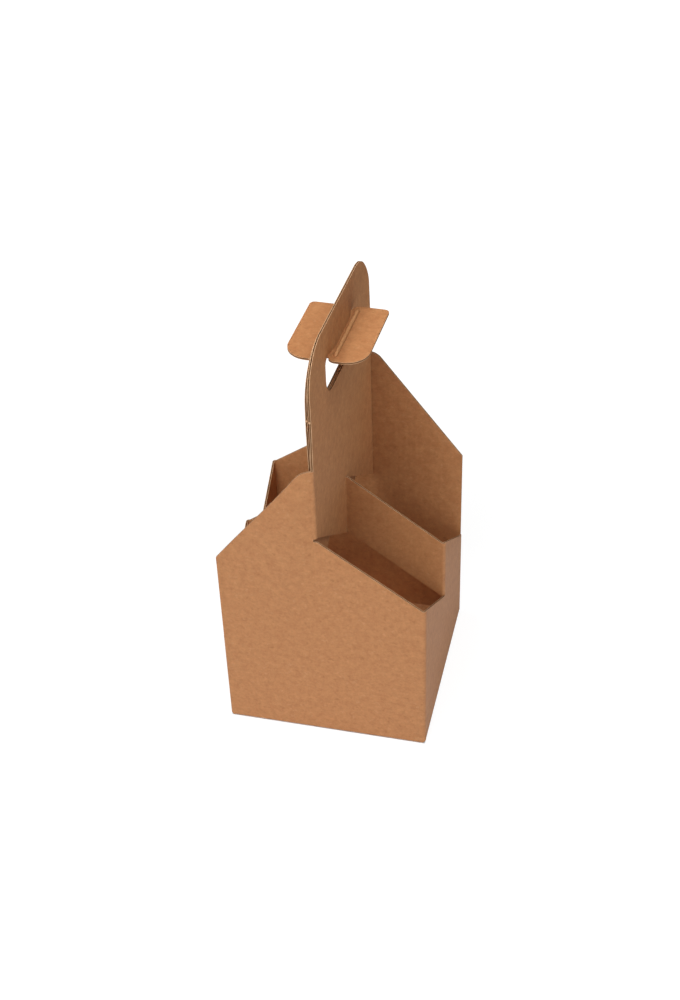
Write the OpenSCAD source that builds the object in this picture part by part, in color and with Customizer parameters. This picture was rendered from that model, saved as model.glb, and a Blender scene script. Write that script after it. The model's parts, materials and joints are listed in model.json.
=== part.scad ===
// Carrier box with four cells, folded from one sheet of corrugated board.
// The sheet is the same when it is turned half round about the upright axis, apart from
// the hand hole and the arch of the left ply, so one half is modelled and set down twice.
// X runs to the right, Y to the back, Z up. The origin is the middle of the base.

/* [Board] */
// Thickness of the corrugated board
board = 1.5; // [1.2:0.1:2]
// Inside radius of a folded edge
crease_r = 0.6; // [0.4:0.1:1]
// Depth to which a crease is pressed in, towards the inside of its fold
crease_press = 0.05; // [0.05:0.05:0.2]
// Play between a cut edge and the panel that it ends at
edge_play = 0.7; // [0.4:0.1:1.2]

/* [Box] */
// Outside width, left to right
box_w = 130; // [116:1:150]
// Outside depth, front to back
box_d = 130; // [116:1:150]
// Height of the lowest points of the saw-tooth rim
low_h = 70; // [50:1:85]
// Rise of a slanted cut over half a side
cut_rise = 44; // [30:1:55]
// Rise of a tall panel's outer corner above the middle of the rim
corner_rise = 22; // [10:1:30]

/* [Handle] */
// Length of the fold that joins a tall panel to its handle ply
fold_len = 51.5; // [40:0.5:60]
// Slit at the foot of that fold
slit = 2; // [1:0.5:3]
// Width of the shoulder beside that fold
shoulder_w = 5.5; // [4:0.5:10]
// Radius of the shoulder
shoulder_r = 10; // [4:1:16]
// Height of the handle above the shoulder
arch_h = 76; // [66:1:90]
// Radius of the handle's two top corners
arch_r = 26; // [12:1:34]
// Height by which the arch of the left ply stays below that of the right one
arch_drop = 5; // [0:0.5:6]
// Air between the two plies
ply_gap = 0.4; // [0.4:0.1:1]
// Turn of the handle, which runs a little askew between its two folds, in degrees
handle_turn = 2; // [0:0.1:3]

/* [Hand hole] */
// Width of the hand hole
hole_w = 61; // [50:1:80]
// Height of the hand hole
hole_h = 26.5; // [22:0.5:30]
// Height of the grip above the hand hole
grip_h = 21.5; // [16:0.5:30]
// Distance by which the hole sits in front of the middle of the handle
hole_lead = 1.5; // [0:0.5:4]
// Radius of the hole's lower corner at the front
hole_front_r = 14; // [4:1:16]
// Radius of the hole's lower corner at the back
hole_back_r = 3.5; // [2:0.5:10]
// Radius of the hole's upper corners, at the ends of the crease
hole_top_r = 5; // [2:1:8]
// Play round a hand flap in its hole
flap_play = 0.5; // [0.4:0.1:0.8]
// Length by which the free edge of a hand flap is trimmed back from the foot of its hole
flap_trim = 3.5; // [0:0.5:5]
// Angle at which the hand flaps stand out from the handle, in degrees
flap_out = 90; // [60:1:120]

/* [Base] */
// Length of a hooked base flap past the middle of the box
hook = 14; // [6:1:24]
// Run of the slanted step between the two hooked base flaps
hook_run = 10; // [4:1:20]
// Seam between the two hooked base flaps
seam = 0.6; // [0.4:0.1:1.2]
// Length of an inner base flap
inner_flap = 46; // [30:1:55]
// Angle at which the sides of the inner base flaps slant in, in degrees
inner_slant = 20; // [5:1:30]

/* [Hidden] */
$fn = 96;
kraft = "#bd8a5e";
kraft_lit = "#cf9568";

// Angle by which a fold runs on into the sheets that it joins
fold_lap = 2;
// Length by which a fold stops short of each end of the edges that it joins
fold_stop = 0.1;
// Amount by which a rounding circle crosses the straight edges beside it
arc_lap = 0.01;
// Outside radius of a folded edge
fold_r = crease_r + board;
half_w = box_w / 2;
half_d = box_d / 2;
// Ends of the flat stretches of the walls, where the corner folds begin
flat_w = half_w - fold_r;
flat_d = half_d - fold_r;
// Heights of the rim: its middle, and the foot of the handle fold
mid_h = low_h + cut_rise;
high_h = mid_h + cut_rise;
corner_h = mid_h + corner_rise;
shoulder_h = high_h + fold_len;
top_h = shoulder_h + arch_h;
hole_top = top_h - grip_h;
hole_bottom = hole_top - hole_h;
// Length that a hand flap would have without play
flap_h = hole_h - flap_trim;
// The inner base flaps lie on the hooked ones
inner_z = board;

// A cut edge that was slit along a fold line ends half a board short of the outside
cut_w = half_w - board / 2;
cut_d = half_d - board / 2;

// The right ply stands between these two distances from the middle plane of the handle
ply_in = ply_gap / 2;
ply_out = ply_in + board;
ply_end = half_d - board - edge_play;
// Middle of the fold between the front panel and the right ply, seen from above
fold_x = (ply_in - crease_r - flat_d * sin(handle_turn)) / cos(handle_turn);
fold_y = -flat_d;
fold_reach = fold_x * sin(handle_turn) + fold_y * cos(handle_turn);
// Middle of the fold between the right ply and the divider, seen from above
root_y = -crease_r;
root_x = (ply_out + crease_r + root_y * sin(handle_turn)) / cos(handle_turn);
root_reach = root_x * sin(handle_turn) + root_y * cos(handle_turn);

// Unit vector from one point to another
function toward(p, q) = (q - p) / norm(q - p);

// Half of the inner angle at a corner between its two neighbours
function half_angle(p, last, next) = acos(toward(p, last) * toward(p, next)) / 2;

// Flat outline with each corner rounded to its own radius, all rounded corners being convex
module rounded(points, radii) {
    n = len(points);
    // Start, centre and end of the rounding at each corner
    arcs = [
        for (i = [0 : n - 1])
            let (p = points[i], last = points[(i + n - 1) % n], next = points[(i + 1) % n])
            let (half = half_angle(p, last, next), run = radii[i] / tan(half), reach = radii[i] / sin(half))
            [
                p + run * toward(p, last),
                p + reach * toward([0, 0], toward(p, last) + toward(p, next)),
                p + run * toward(p, next)
            ]
    ];
    polygon([for (i = [0 : n - 1]) each radii[i] > 0 ? [arcs[i][0], arcs[i][2]] : [points[i]]]);
    for (i = [0 : n - 1])
        if (radii[i] > 0)
            intersection() {
                translate(arcs[i][1]) circle(radii[i] + arc_lap);
                polygon(concat([points[i]], arcs[i]));
            }
}

// Upright sheet across the depth, from an outline in X and Z, with its front face at y
module sheet_across(y) {
    translate([0, y + board, 0]) rotate([90, 0, 0]) linear_extrude(board) children();
}

// Upright sheet along the depth, from an outline in Y and Z, with its left face at x
module sheet_along(x) {
    translate([x, 0, 0]) rotate([90, 0, 90]) linear_extrude(board) children();
}

// Fold along Z, from one angle to another, pressed in along its crease
module fold(from, to, length) {
    translate([0, 0, fold_stop])
        rotate([0, 0, from - fold_lap])
            rotate_extrude(angle = to - from + 2 * fold_lap)
                translate([crease_r - crease_press, 0]) square([board, length - 2 * fold_stop]);
}

// Upright fold about a point, from one angle to another
module fold_up(x, y, from, to, bottom, top) {
    translate([x, y, bottom]) fold(from, to, top - bottom);
}

// Quarter fold at the foot of a wall that faces -Y, along a length centred on X
module fold_foot(y, z, length) {
    translate([-length / 2, y, z]) rotate([90, 0, 90]) fold(180, 270, length);
}

// The handle's own frame, turned about the upright axis
module handle_frame() {
    rotate([0, 0, -handle_turn]) children();
}

// Outline of the hand hole, or of the flap cut from it when it is drawn in by some play and
// trimmed at its foot, with its front towards -Y or, with a front of 1, towards +Y
module hole_outline(play, trim, front) {
    side = hole_w / 2 - play;
    low = hole_bottom + trim + play;
    high = hole_top - play;
    front_r = min(hole_front_r, 0.65 * flap_h) - play;
    back_r = min(hole_back_r, 0.65 * flap_h) - play;
    top_r = min(hole_top_r, flap_h / 4) - play;
    mirror([front > 0 ? 1 : 0, 0])
        translate([-hole_lead, 0])
            rounded([[-side, low], [side, low], [side, high], [-side, high]], [front_r, back_r, top_r, top_r]);
}

// Front panel: a tall half that rises to the shoulder, and a low half with a slanted rim
module front_panel() {
    shoulder = [fold_x - shoulder_w, shoulder_h];
    corner = [-cut_w, corner_h];
    slope_angle = half_angle(shoulder, corner, [fold_x, shoulder_h]);
    limit_r = min(shoulder_r, shoulder_w * tan(slope_angle));
    sheet_across(-half_d) {
        polygon([
            [-flat_w, fold_r], [flat_w, fold_r], [flat_w, mid_h], [fold_x + fold_r, high_h],
            [fold_x, high_h], [-flat_w, low_h]
        ]);
        rounded([
            [-cut_w, low_h], [fold_x, low_h], [fold_x, shoulder_h], shoulder, corner
        ], [0, 0, 0, limit_r, 0]);
    }
    fold_up(fold_x, fold_y, -90, -handle_turn, high_h + slit, shoulder_h);
}

// Right wall: two slanted teeth, the rear one beginning at the divider's fold
module right_wall() {
    sheet_along(half_w - board)
        polygon([
            [-flat_d, inner_z + fold_r], [flat_d, inner_z + fold_r], [flat_d, low_h], [fold_r, mid_h],
            [fold_r, low_h], [0, low_h], [-flat_d, mid_h]
        ]);
    fold_up(flat_w, -flat_d, -90, 0, fold_r, mid_h);
    fold_up(flat_w, flat_d, 0, 90, inner_z + fold_r, low_h);
}

// Divider: a slanted band folded in from the middle of the right wall to the right ply
module divider() {
    fold_up(flat_w, fold_r, -90, 0, low_h, mid_h);
    sheet_across(0)
        polygon([[flat_w, low_h], [flat_w, mid_h], [root_x, high_h], [root_x, mid_h]]);
    fold_up(root_x, root_y, 90, 180 - handle_turn, mid_h, high_h);
}

// Right ply of the handle, folded back from the front panel over the whole depth, with
// its arch lowered by some drop
module ply(front, drop) {
    handle_frame()
        sheet_along(ply_in)
            difference() {
                union() {
                    polygon([
                        [fold_reach, high_h + slit], [root_reach, mid_h], [root_reach, high_h],
                        [ply_end, mid_h], [ply_end, shoulder_h], [fold_reach, shoulder_h]
                    ]);
                    rounded([
                        [-cut_d, shoulder_h], [ply_end, shoulder_h], [ply_end, top_h - drop],
                        [-cut_d, top_h - drop]
                    ], [0, 0, arch_r, arch_r]);
                }
                hole_outline(0, 0, front);
            }
}

// Hooked base flap of the front panel, which meets its twin along a stepped seam
module hooked_flap() {
    side = flat_w - edge_play;
    fold_foot(-flat_d, fold_r, 2 * side);
    linear_extrude(board)
        polygon([
            [-side, -flat_d], [side, -flat_d], [side, -hook - seam / 2],
            [hook_run / 2 - seam / 2, -hook - seam / 2], [-hook_run / 2 - seam / 2, hook - seam / 2],
            [-side, hook - seam / 2]
        ]);
}

// Inner base flap of the right wall, glued down on the hooked flaps
module inner_base_flap() {
    root = flat_d - edge_play;
    tip = root - inner_flap * tan(inner_slant);
    rotate([0, 0, 90]) fold_foot(-flat_w, inner_z + fold_r, 2 * root);
    translate([0, 0, inner_z])
        linear_extrude(board)
            polygon([
                [flat_w, -root], [flat_w, root], [half_w - inner_flap, tip], [half_w - inner_flap, -tip]
            ]);
}

// One half of the sheet: front panel, right wall, divider, right ply and two base flaps
module half_sheet(front, drop) {
    front_panel();
    right_wall();
    divider();
    ply(front, drop);
    hooked_flap();
    inner_base_flap();
}

// The folded sheet
module carrier() {
    color(kraft) {
        half_sheet(-1, 0);
        rotate([0, 0, 180]) half_sheet(1, arch_drop);
    }
}

// Flap of the right ply's hand hole, turned out about the crease at the top of the hole
module hand_flap(front) {
    handle_frame()
        translate([ply_out, 0, hole_top])
            rotate([0, -flap_out, 0])
                translate([-ply_out, 0, -hole_top])
                    sheet_along(ply_in) hole_outline(flap_play, flap_trim, front);
}

module hand_flap_right() {
    color(kraft_lit) hand_flap(-1);
}

module hand_flap_left() {
    color(kraft_lit) rotate([0, 0, 180]) hand_flap(1);
}

carrier();
hand_flap_right();
hand_flap_left();
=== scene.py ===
"""Looks of a carrier box that is folded from one sheet of brown corrugated board.

Each stretch of board is a grid over its middle surface: one direction runs across the
flutes, the other along them. Two liners and a waved medium are laid on that grid as
thin closed layers, so that every cut edge shows liner, flutes and liner. Lengths are in
mm until a mesh is made.
"""

import json
import logging
import math
from dataclasses import dataclass, field, replace
from enum import Enum

import bpy
import numpy as np
from mathutils import Matrix, Vector


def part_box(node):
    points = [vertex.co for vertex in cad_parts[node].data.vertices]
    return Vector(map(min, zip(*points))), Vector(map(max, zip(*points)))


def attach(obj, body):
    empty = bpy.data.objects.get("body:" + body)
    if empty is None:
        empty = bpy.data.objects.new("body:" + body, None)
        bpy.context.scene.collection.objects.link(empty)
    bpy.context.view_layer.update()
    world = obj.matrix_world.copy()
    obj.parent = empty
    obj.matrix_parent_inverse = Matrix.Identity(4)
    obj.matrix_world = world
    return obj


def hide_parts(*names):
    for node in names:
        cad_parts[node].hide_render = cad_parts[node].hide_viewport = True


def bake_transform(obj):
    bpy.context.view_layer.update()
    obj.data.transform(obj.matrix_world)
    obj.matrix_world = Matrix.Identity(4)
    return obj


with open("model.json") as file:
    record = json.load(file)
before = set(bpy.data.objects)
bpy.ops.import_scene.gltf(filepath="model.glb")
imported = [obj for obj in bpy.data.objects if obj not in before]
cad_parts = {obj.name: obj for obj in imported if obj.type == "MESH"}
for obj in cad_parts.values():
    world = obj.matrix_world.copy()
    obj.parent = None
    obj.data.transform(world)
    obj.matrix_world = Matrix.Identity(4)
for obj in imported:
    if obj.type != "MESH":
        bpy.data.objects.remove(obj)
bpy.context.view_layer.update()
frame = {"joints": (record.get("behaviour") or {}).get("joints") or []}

log = logging.getLogger("carrier")
Array = np.ndarray
Triple = tuple[float, float, float]
Material = bpy.types.Material
Object = bpy.types.Object

MM = 0.001
QUARTER = math.pi / 2
SHEET_BODY = "sheet"
WHITE = (1.0, 1.0, 1.0, 1.0)
# Faces that meet at more than this angle keep a sharp edge
SHARP = math.radians(52.0)
# Sockets of a Mix node that is set to colours: both colours and the result
MIX_A, MIX_B, MIX_OUT = 6, 7, 2
# Distance of a column from a cut end, which keeps the press of the cut narrow
CUT_STEP = 0.3
# Least height of a column of board, so that no face shrinks to nothing
LEAST_H = 0.05
# Rounding that is allowed where places along a path are compared
TINY = 1e-9


class Layer(Enum):
    """What a face of the board shows."""

    LINER = 0
    CUT = 1
    FLUTE = 2


class Side(Enum):
    """A side of the handle: the half of the sheet that it belongs to and its hand flap."""

    RIGHT = ("sheet_front_half", "right_flap", "hand_flap_right", 1.0)
    LEFT = ("sheet_back_half", "left_flap", "hand_flap_left", -1.0)

    def __init__(self, half: str, body: str, node: str, sign: float) -> None:
        """Keep the names and the sign of the side.

        Args:
            half: Name of the piece for the half of the sheet.
            body: Name of the body that the flap rides on.
            node: Name of the node that the flap stands for.
            sign: 1 for the side as modelled, -1 for the side turned half round.
        """
        self.half = half
        self.body = body
        self.node = node
        self.sign = sign

    @property
    def turned(self) -> Array:
        """Factors that turn points of the side as modelled to where this side is."""
        return np.array([self.sign, self.sign, 1.0])


@dataclass(frozen=True)
class Sizes:
    """Driving dimensions in mm; the outer ones and the handle's turn come from the frame."""

    half_w: float
    half_d: float
    top_h: float
    turn: float
    board: float = 1.5
    crease_r: float = 0.6
    edge_play: float = 0.7
    low_h: float = 70.0
    cut_rise: float = 44.0
    corner_rise: float = 22.0
    fold_len: float = 51.5
    slit: float = 2.0
    shoulder_w: float = 5.5
    shoulder_r: float = 10.0
    arch_r: float = 26.0
    arch_drop: float = 5.0
    ply_gap: float = 0.4
    hole_w: float = 61.0
    hole_h: float = 26.5
    grip_h: float = 21.5
    hole_lead: float = 1.5
    hole_front_r: float = 14.0
    hole_back_r: float = 3.5
    hole_top_r: float = 5.0
    flap_play: float = 0.5
    flap_trim: float = 3.5
    hook: float = 14.0
    hook_run: float = 10.0
    seam: float = 0.6
    inner_flap: float = 46.0
    inner_slant: float = math.radians(20.0)
    inner_end: float = 0.4

    @classmethod
    def from_frame(cls) -> "Sizes":
        """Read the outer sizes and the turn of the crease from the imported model.

        Returns:
            The sizes of the carrier.
        """
        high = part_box("carrier")[1]
        axis = frame["joints"][0]["axis"]
        return cls(high[0] / MM, high[1] / MM, high[2] / MM, math.atan2(abs(axis[0]), abs(axis[1])))

    @property
    def fold_r(self) -> float:
        """Outside radius of a fold."""
        return self.crease_r + self.board

    @property
    def mid_r(self) -> float:
        """Radius of a fold at the middle of the board."""
        return self.crease_r + self.board / 2

    def fold(self, angle: float) -> tuple[float, float]:
        """Length and curvature of a fold by an angle, at the middle of the board."""
        return abs(angle) * self.mid_r, math.copysign(1 / self.mid_r, angle)

    @property
    def flat_w(self) -> float:
        """End of the flat stretch of the front panel."""
        return self.half_w - self.fold_r

    @property
    def flat_d(self) -> float:
        """End of the flat stretch of the right wall."""
        return self.half_d - self.fold_r

    @property
    def front_y(self) -> float:
        """Place of the middle of the front panel's board."""
        return -self.half_d + self.board / 2

    @property
    def mid_h(self) -> float:
        """Height of the middle of the rim."""
        return self.low_h + self.cut_rise

    @property
    def high_h(self) -> float:
        """Height of the top of the divider."""
        return self.mid_h + self.cut_rise

    @property
    def shoulder_h(self) -> float:
        """Height of the shoulder of a tall panel."""
        return self.high_h + self.fold_len

    @property
    def hole_top(self) -> float:
        """Height of the crease at the top of the hand hole."""
        return self.top_h - self.grip_h

    @property
    def cut_d(self) -> float:
        """End of a cut edge that was slit along a fold line."""
        return self.half_d - self.board / 2

    @property
    def ply_mid(self) -> float:
        """Distance of the middle of a ply from the middle plane of the handle."""
        return self.ply_gap / 2 + self.board / 2

    @property
    def ply_out(self) -> float:
        """Distance of the outer face of a ply from the middle plane of the handle."""
        return self.ply_gap / 2 + self.board

    @property
    def ply_end(self) -> float:
        """Far end of a ply, in the handle's own frame."""
        return self.half_d - self.board - self.edge_play

    @property
    def ply_turn(self) -> float:
        """Angle by which a ply folds away from the front panel."""
        return QUARTER - self.turn

    @property
    def fold_x(self) -> float:
        """Centre of the fold between the front panel and the right ply."""
        reach = self.ply_gap / 2 - self.crease_r - self.flat_d * math.sin(self.turn)
        return reach / math.cos(self.turn)

    @property
    def fold_reach(self) -> float:
        """The same centre along the handle."""
        return self.fold_x * math.sin(self.turn) - self.flat_d * math.cos(self.turn)

    @property
    def root_x(self) -> float:
        """Centre of the fold between the right ply and the divider."""
        reach = self.ply_out + self.crease_r - self.crease_r * math.sin(self.turn)
        return reach / math.cos(self.turn)

    @property
    def root_reach(self) -> float:
        """The same centre along the handle."""
        return self.root_x * math.sin(self.turn) - self.crease_r * math.cos(self.turn)


def hex_linear(code: str) -> tuple[float, float, float, float]:
    """Turn an sRGB colour code into a linear colour.

    Args:
        code: Six hex digits, with or without a leading hash.

    Returns:
        Linear red, green and blue, and an alpha of 1.
    """
    parts = np.array([int(code.lstrip("#")[k : k + 2], 16) for k in (0, 2, 4)]) / 255.0
    linear = np.where(parts <= 0.04045, parts / 12.92, ((parts + 0.055) / 1.055) ** 2.4)
    return (*linear.tolist(), 1.0)


def add_node(
    tree: bpy.types.NodeTree, kind: str, inputs: dict | tuple = (), **settings: object
) -> bpy.types.Node:
    """Add a node with its settings, its constant inputs and its links.

    Args:
        tree: Node tree that takes the node.
        kind: Type name of the node.
        inputs: Constants or feeding sockets, by socket name or number or in the sockets' order.
        settings: Attributes of the node.

    Returns:
        The new node.
    """
    node = tree.nodes.new(kind)
    for name, value in settings.items():
        setattr(node, name, value)
    for name, value in inputs.items() if isinstance(inputs, dict) else enumerate(inputs):
        if isinstance(value, bpy.types.NodeSocket):
            tree.links.new(value, node.inputs[name])
        else:
            node.inputs[name].default_value = value
    return node


def new_material(name: str) -> tuple[Material, bpy.types.NodeTree]:
    """Make an empty node material.

    Args:
        name: Name of the material.

    Returns:
        The material and its node tree.
    """
    material = bpy.data.materials.new(name)
    material.use_nodes = True
    material.node_tree.nodes.clear()
    return material, material.node_tree


@dataclass(frozen=True)
class PaperFinish:
    """Brown paper of the board, made from unbleached pulp on a wire.

    The eye reads it as kraft paper by three things: soft clouds where the pulp settled
    unevenly, a fine grain of fibres, and single dark or pale fibres as flecks.
    """

    name: str
    body: str
    cloud: str
    dark_fleck: str
    pale_fleck: str
    roughness: float = 0.6
    gloss: float = 0.25
    # Size in mm, octaves and roughness of each noise. Real fibres are about 0.03 mm wide; they
    # are drawn coarser so that they show, and flecks are drawn out across the upright flutes
    cloud_noise: Triple = (5.0, 3.0, 0.55)
    grain_noise: Triple = (1.9, 3.0, 0.7)
    fleck_noise: Triple = (2.8, 2.0, 0.6)
    fleck_scale: Triple = (0.8, 0.8, 1.0)
    # Levels of the noise at which clouds and flecks start and are full, and their share
    # there; dark flecks are its peaks and pale ones its pits
    cloud_levels: Triple = (0.3, 0.7, 1.0)
    dark_levels: Triple = (0.6, 0.78, 0.32)
    pale_levels: Triple = (0.4, 0.22, 0.28)
    # Levels of the grain's noise that are darkest and palest, and by how much
    grain_levels: tuple[float, float] = (0.25, 0.75)
    grain_depth: float = 0.11
    relief_mm: float = 0.05
    relief_share: float = 0.5

    def build(self) -> Material:
        """Make the paper.

        Returns:
            The material.
        """
        material, tree = new_material(self.name)
        place = add_node(tree, "ShaderNodeTexCoord").outputs["Object"]
        drawn = add_node(tree, "ShaderNodeMapping", {"Vector": place, "Scale": self.fleck_scale}).outputs[0]
        clouds, grain, flecks = (
            add_node(
                tree,
                "ShaderNodeTexNoise",
                {"Vector": spot, "Scale": 1 / (size * MM), "Detail": octaves, "Roughness": rough},
            ).outputs[0]
            for spot, size, octaves, rough in (
                (place, *self.cloud_noise),
                (place, *self.grain_noise),
                (drawn, *self.fleck_noise),
            )
        )
        colour = hex_linear(self.body)
        for noise, code, (start, full, most) in (
            (clouds, self.cloud, self.cloud_levels),
            (flecks, self.dark_fleck, self.dark_levels),
            (flecks, self.pale_fleck, self.pale_levels),
        ):
            share = add_node(tree, "ShaderNodeMapRange", (noise, start, full, 0.0, most)).outputs[0]
            mix = {0: share, MIX_A: colour, MIX_B: hex_linear(code)}
            colour = add_node(tree, "ShaderNodeMix", mix, data_type="RGBA").outputs[MIX_OUT]
        tones = 1 - self.grain_depth, 1 + self.grain_depth
        shade = add_node(tree, "ShaderNodeMapRange", (grain, *self.grain_levels, *tones)).outputs[0]
        colour = add_node(tree, "ShaderNodeVectorMath", (colour, shade), operation="MULTIPLY").outputs[0]
        bump = {"Height": grain, "Strength": self.relief_share, "Distance": self.relief_mm * MM}
        look = {"Base Color": colour, "Roughness": self.roughness, "Specular IOR Level": self.gloss}
        look["Normal"] = add_node(tree, "ShaderNodeBump", bump).outputs[0]
        paper = add_node(tree, "ShaderNodeBsdfPrincipled", look).outputs[0]
        add_node(tree, "ShaderNodeOutputMaterial", (paper,))
        return material


def add_mesh(
    name: str, points: Array, faces: Array | list[list[int]], papers: Array, materials: list[Material]
) -> Object:
    """Make a smooth mesh object at the origin.

    Args:
        name: Name of the piece.
        points: Points in the shared frame, in mm.
        faces: Numbers of the points of each face.
        papers: Number of the material of each face.
        materials: Materials of the piece.

    Returns:
        The new object.
    """
    mesh = bpy.data.meshes.new(name)
    mesh.from_pydata(points * MM, [], faces)
    for material in materials:
        mesh.materials.append(material)
    mesh.polygons.foreach_set("material_index", papers.astype(np.int32))
    mesh.polygons.foreach_set("use_smooth", np.ones(len(faces), dtype=bool))
    mesh.set_sharp_from_angle(angle=SHARP)
    mesh.update()
    obj = bpy.data.objects.new(name, mesh)
    bpy.context.scene.collection.objects.link(obj)
    log.info("%s: %d faces", name, len(faces))
    return obj


@dataclass
class Surface:
    """Points, faces, face layers and flat coordinates of a mesh in the making."""

    points: list[Array] = field(default_factory=list)
    faces: list[Array] = field(default_factory=list)
    layers: list[Array] = field(default_factory=list)
    flat: list[Array] = field(default_factory=list)
    count: int = 0

    def add_slab(
        self, front: Array, back: Array, flat: Array, layers: tuple[Layer, Layer, Layer]
    ) -> None:
        """Add a thin closed layer between two grids of points.

        The front grid keeps its order, the back grid is reversed, and a rim of quads
        runs once round the border from one to the other.

        Args:
            front: Points of the side that the normals point to, rows by columns by 3.
            back: Points of the other side.
            flat: Coordinates on the flat sheet, rows by columns by 2.
            layers: What the front, the back and the rim show.
        """
        n, m = front.shape[:2]
        index = np.arange(n * m).reshape(n, m)
        corner = index[:-1, :-1], index[1:, :-1], index[1:, 1:], index[:-1, 1:]
        top = np.stack(corner, -1).reshape(-1, 4)
        under = np.stack(corner[::-1], -1).reshape(-1, 4) + n * m
        ring = np.concatenate([index[:-1, 0], index[-1, :-1], index[:0:-1, -1], index[0, :0:-1]])
        after = np.roll(ring, -1)
        rim = np.stack([after, ring, ring + n * m, after + n * m], -1)
        self.points.append(np.concatenate([front.reshape(-1, 3), back.reshape(-1, 3)]))
        self.flat.append(np.tile(flat.reshape(-1, 2), (2, 1)))
        self.faces.append(np.concatenate([top, under, rim]) + self.count)
        self.layers.append(np.repeat([layer.value for layer in layers], [len(top), len(under), len(rim)]))
        self.count += 2 * n * m

    def build(self, name: str, side: Side, materials: list[Material]) -> Object:
        """Make the object, as modelled or turned half round about the upright axis.

        Args:
            name: Name of the piece.
            side: Side that the piece is for.
            materials: Materials in the order of the layers.

        Returns:
            The new object at the origin.
        """
        faces = np.concatenate(self.faces)
        points = np.concatenate(self.points) * side.turned
        obj = add_mesh(name, points, faces, np.concatenate(self.layers), materials)
        spots = np.concatenate(self.flat)[faces.ravel()] * MM
        sheet = obj.data.uv_layers.new(name="flat_sheet")
        sheet.data.foreach_set("uv", spots.astype(np.float32).ravel())
        return obj


@dataclass
class Patch:
    """Grid over the middle surface of a stretch of board.

    The first direction runs across the flutes, the second along them, and the normal
    is the cross product of the two, which is the outside of the sheet. Beside points
    and normals it holds the distance of each column across the flutes, and for each
    point the distance along them and the press of a cut.
    """

    middle: Array
    normal: Array
    along: Array
    down: Array
    press: Array

    def bowed(self, offset: Array) -> "Patch":
        """Return the patch moved along its normals by an offset per point."""
        return replace(self, middle=self.middle + self.normal * offset[..., None])


@dataclass(frozen=True)
class Corrugated:
    """Single-wall board: outer liner, fluted medium and inner liner."""

    thickness: float
    liner: float = 0.3
    medium: float = 0.22
    pitch: float = 3.4
    washboard: float = 0.03
    flute_columns: int = 5

    @property
    def step(self) -> float:
        """Spacing of the grid columns."""
        return self.pitch / self.flute_columns

    def lay(self, patch: Patch, surface: Surface) -> None:
        """Lay the three layers on a patch.

        The medium is a sine across the flutes that reaches from liner to liner. Each
        liner sinks a little between the crests that it is glued to, which is the
        washboard of such board. At a cut edge all layers are pressed together.

        Args:
            patch: Grid over the middle surface.
            surface: Mesh in the making that takes the layers.
        """
        wave = np.sin(2 * math.pi * patch.along / self.pitch)[:, None]
        half = self.thickness / 2 - patch.press
        outer = half - self.washboard * (1 - wave) / 2
        inner = half - self.washboard * (1 + wave) / 2
        skin = self.medium / 2
        centre = wave * (half - self.liner - skin)
        flat = np.stack([np.broadcast_to(patch.along[:, None], patch.down.shape), patch.down], -1)
        # Inner liner faces and the medium take darker flute paper, partly painted shade in the cavities
        for front, back, layers in (
            (outer, outer - self.liner, (Layer.LINER, Layer.FLUTE, Layer.CUT)),
            (self.liner - inner, -inner, (Layer.FLUTE, Layer.LINER, Layer.CUT)),
            (centre + skin, centre - skin, (Layer.FLUTE, Layer.FLUTE, Layer.FLUTE)),
        ):
            surface.add_slab(patch.bowed(front).middle, patch.bowed(back).middle, flat, layers)


@dataclass(frozen=True)
class Cuts:
    """Which borders of a patch are cut edges, the others running on into more board."""

    low: bool = False
    high: bool = False
    start: bool = False
    end: bool = False
    # Depth of the zone that the cutting rule presses, how far it presses each face, and
    # the width of the bell by which the press falls off, as a share of the zone
    zone: float = 0.9
    depth: float = 0.06
    bell: float = 0.45
    # Rows in the zone, as shares of it, and the most of a column that a zone takes up
    zone_rows: tuple[float, ...] = (0.0, 0.3, 1.0)
    zone_most: float = 0.25

    def rows(self, height: Array, inner: int) -> Array:
        """Spread rows over a height, closer together at cut edges.

        Args:
            height: Height of each column.
            inner: Number of even steps between the edge zones.

        Returns:
            Distances from the low border, columns by rows.
        """
        near = np.minimum(self.zone, height * self.zone_most)[:, None] * np.array(self.zone_rows)
        bottom = near if self.low else near[:, :1]
        top = height[:, None] - (near[:, ::-1] if self.high else near[:, :1])
        share = np.linspace(0, 1, inner + 1)[1:-1]
        between = bottom[:, -1:] + (top[:, :1] - bottom[:, -1:]) * share
        return np.concatenate([bottom, between, top], axis=1)

    def press(self, rise: Array, height: Array, along: Array) -> Array:
        """Work out how far the board is pressed at each point.

        The press falls off with the distance from a cut edge as a bell curve.

        Args:
            rise: Distances from the low border, columns by rows.
            height: Height of each column.
            along: Distance of each column across the flutes.

        Returns:
            Press of each face, columns by rows.
        """
        far = np.full_like(rise, np.inf)
        side = np.broadcast_to(along[:, None], rise.shape)
        away = np.minimum.reduce(
            [
                rise if self.low else far,
                height[:, None] - rise if self.high else far,
                side - along[0] if self.start else far,
                along[-1] - side if self.end else far,
            ]
        )
        return self.depth * np.exp(-((away / (self.bell * self.zone)) ** 2))


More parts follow.
